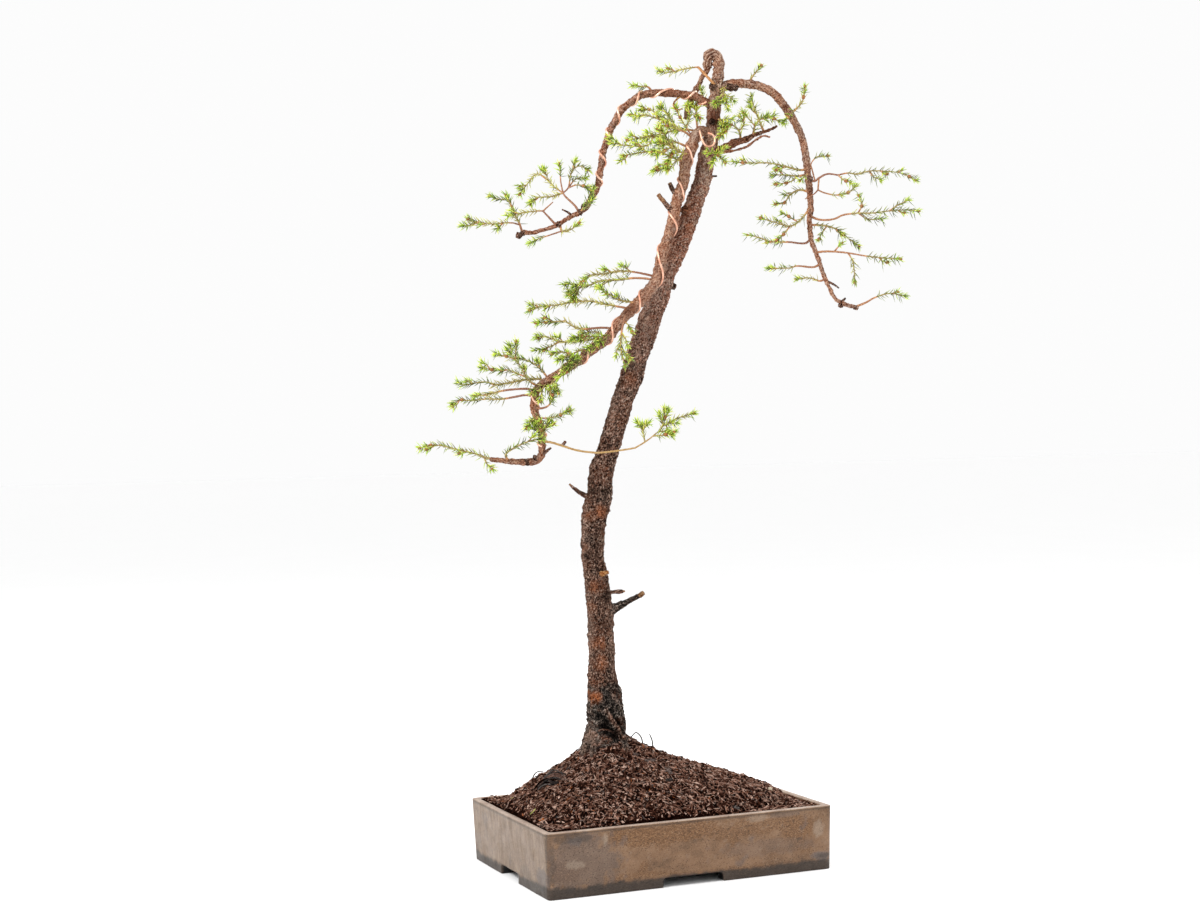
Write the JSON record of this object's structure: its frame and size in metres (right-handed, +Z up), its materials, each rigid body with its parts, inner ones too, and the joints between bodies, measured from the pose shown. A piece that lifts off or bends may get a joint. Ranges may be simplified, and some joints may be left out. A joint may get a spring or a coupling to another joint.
{
  "type": "spruce bonsai in a pot",
  "caption": "Slender spruce bonsai with a leaning bare trunk and long hanging branches bent with copper wire, growing from a mound of soil in a low rectangular glazed pot.",
  "frame": {"origin": "on the table, under the middle of the whole part's bounding box", "axes": "+X along the pot's long side, to the right as seen from the pot's front; +Y from the pot's front to its back; +Z up along the tree"},
  "size_m": [0.5034, 0.2494, 0.8141],
  "materials": {
    "pot_glaze": "satin",
    "soil": "matte",
    "bark": "matte",
    "needles": "satin",
    "copper": "satin",
    "screen_plastic": "matte",
    "pellet": "matte"
  },
  "bodies": {
    "root": {"pot": "pot_glaze", "drain_screen_left": "screen_plastic", "drain_screen_right": "screen_plastic", "wire_left_branch": "copper", "wire_arched_limb": "copper", "wood": "bark", "left_pad_top": "needles", "left_pad_middle": "needles", "left_pad_tip": "needles", "left_pad_lower": "needles", "left_arch_shoot": "needles", "crown_shoot": "needles", "crown_upright": "needles", "crown_left_top": "needles", "crown_left_middle": "needles", "crown_left_low": "needles", "crown_left_front": "needles", "crown_left_back": "needles", "inner_right_top": "needles", "inner_right_middle": "needles", "inner_right_left": "needles", "trunk_tuft_upper": "needles", "trunk_tuft_lower": "needles", "right_top_shoot": "needles", "right_shoulder_shoot": "needles", "right_inner_1": "needles", "right_inner_2": "needles", "right_inner_3": "needles", "right_inner_4": "needles", "right_inner_5": "needles", "right_inner_6": "needles", "right_inner_7": "needles", "right_outer_1": "needles", "right_outer_2": "needles", "right_outer_3": "needles", "right_outer_4": "needles", "right_end": "needles", "limb_left_1": "needles", "limb_left_2": "needles", "limb_left_3": "needles", "limb_left_4": "needles", "limb_left_5": "needles", "limb_left_6": "needles", "limb_left_7": "needles", "limb_hanging": "needles", "lower_left_1": "needles", "lower_left_2": "needles", "lower_left_3": "needles", "lower_left_4": "needles", "lower_left_5": "needles", "lower_left_6": "needles", "lower_left_7": "needles", "bottom_tip": "needles", "bottom_arm": "needles", "front_twig": "needles", "fertiliser_pellet": "pellet", "bark_chip": "bark", "soil": "soil"}
  },
  "joints": []
}
